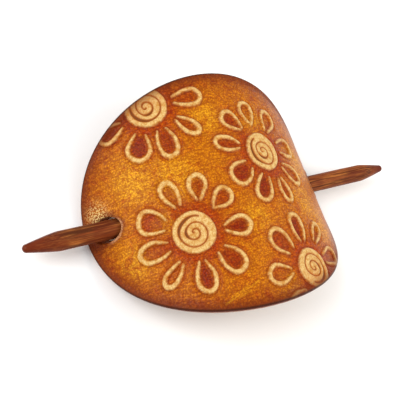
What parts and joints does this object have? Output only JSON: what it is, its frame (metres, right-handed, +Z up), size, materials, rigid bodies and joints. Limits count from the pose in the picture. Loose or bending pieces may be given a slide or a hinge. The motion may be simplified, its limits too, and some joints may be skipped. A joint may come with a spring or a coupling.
{
  "type": "decorative hair pin",
  "caption": "Arched leather oval that sits over the hair, with a tapered wooden stick through a hole near each end to hold it.",
  "frame": {"origin": "on the floor under the middle of the stick, where the arch's two ends rest", "axes": "+X along the stick towards its longer free end, +Y across the oval, +Z up from the floor through the arch's crown"},
  "size_m": [0.151, 0.083, 0.029],
  "materials": {
    "tooled_leather": "dyed amber and red-brown, embossed, semi-gloss",
    "stained_wood": "walnut stain, satin"
  },
  "bodies": {
    "plate": {"leather_plate": "tooled_leather"},
    "stick": {"hair_stick": "stained_wood"}
  },
  "joints": [
    {"name": "stick_slide", "type": "slide", "parent": "plate", "child": "stick", "axis": [1, 0, 0], "range_m": [-0.128, 0.12]}
  ]
}
